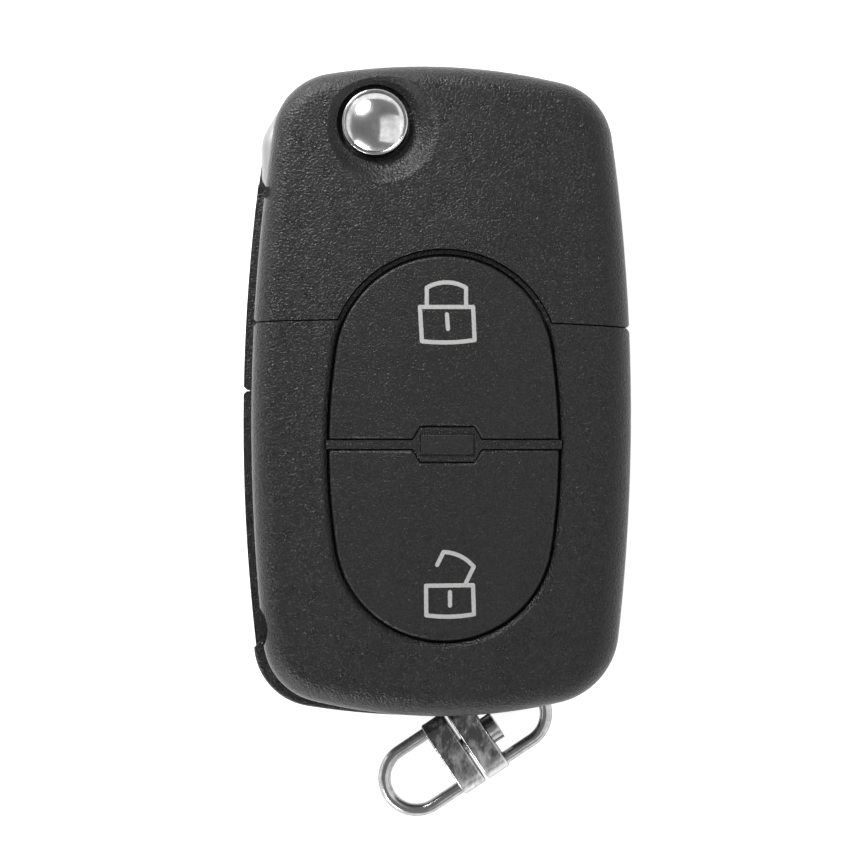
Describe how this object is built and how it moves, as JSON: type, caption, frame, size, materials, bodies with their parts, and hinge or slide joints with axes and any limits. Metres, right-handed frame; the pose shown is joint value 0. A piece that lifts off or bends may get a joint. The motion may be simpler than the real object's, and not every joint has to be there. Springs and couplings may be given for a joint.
{
  "type": "folding key fob shell",
  "caption": "Folding key fob shell: spring-out uncut blade, domed release button, oval lock and unlock buttons, and a swivel ring.",
  "frame": {"origin": "centre of the flat back face of the case", "axes": "+X to the right seen from the buttons, +Y along the case towards the blade pivot, +Z out of the button face"},
  "size_m": [0.0456, 0.088, 0.0169],
  "materials": {
    "case_plastic": "fine grained black",
    "button_plastic": "very fine grained black",
    "window_plastic": "dark tinted",
    "membrane_rubber": "grey silicone",
    "release_chrome": "bright",
    "collar_metal": "satin",
    "blade_steel": "ground nickel silver",
    "spring_steel": "drawn wire",
    "screw_steel": "blackened",
    "clip_metal": "nickel plated strip",
    "swivel_chrome": "bright, slightly marked"
  },
  "bodies": {
    "case": {"head_front_cover": "case_plastic", "head_rear_cover": "case_plastic", "remote_front_cover": "case_plastic", "remote_rear_cover": "case_plastic", "indicator_window": "window_plastic", "button_membrane": "membrane_rubber", "pivot_cap": "clip_metal", "pivot_screw": "screw_steel", "case_screws": "screw_steel", "cell_clip_positive": "clip_metal", "cell_clip_negative": "clip_metal", "key_ring_post": "swivel_chrome", "release_spring": "spring_steel"},
    "blade": {"blade_collar": "collar_metal", "key_blade": "blade_steel", "blade_pin": "blade_steel"},
    "release": {"release_button": "release_chrome"},
    "lock": {"lock_button": "button_plastic"},
    "unlock": {"unlock_button": "button_plastic"},
    "inner_swivel": {"swivel_inner_ring": "swivel_chrome", "swivel_inner_block": "swivel_chrome"},
    "outer_swivel": {"swivel_rivet": "swivel_chrome", "swivel_outer_block": "swivel_chrome", "swivel_outer_ring": "swivel_chrome"}
  },
  "joints": [
    {"name": "blade_flip", "type": "hinge", "parent": "case", "child": "blade", "pos_m": [-0.007, 0.0308, 0.00645], "axis": [0, 0, -1], "range_deg": [0, 180]},
    {"name": "release_press", "type": "slide", "parent": "case", "child": "release", "axis": [0, 0, -1], "range_m": [0, 0.002], "stiffness_N_per_m": 2500, "springref_m": -0.001, "deforming": ["release_spring"]},
    {"name": "lock_press", "type": "slide", "parent": "case", "child": "lock", "axis": [0, 0, -1], "range_m": [0, 0.0005], "stiffness_N_per_m": 4000, "springref_m": -0.0002},
    {"name": "unlock_press", "type": "slide", "parent": "case", "child": "unlock", "axis": [0, 0, -1], "range_m": [0, 0.0005], "stiffness_N_per_m": 4000, "springref_m": -0.0002},
    {"name": "ring_swing", "type": "hinge", "parent": "case", "child": "inner_swivel", "pos_m": [0.0098, -0.0362, 0.0052], "axis": [0, 0, 1], "range_deg": [0, 60]},
    {"name": "swivel_spin", "type": "hinge", "parent": "inner_swivel", "child": "outer_swivel", "pos_m": [0.0035, -0.04215, 0.0052], "axis": [0.8339, 0.5519, 0], "continuous": true}
  ]
}
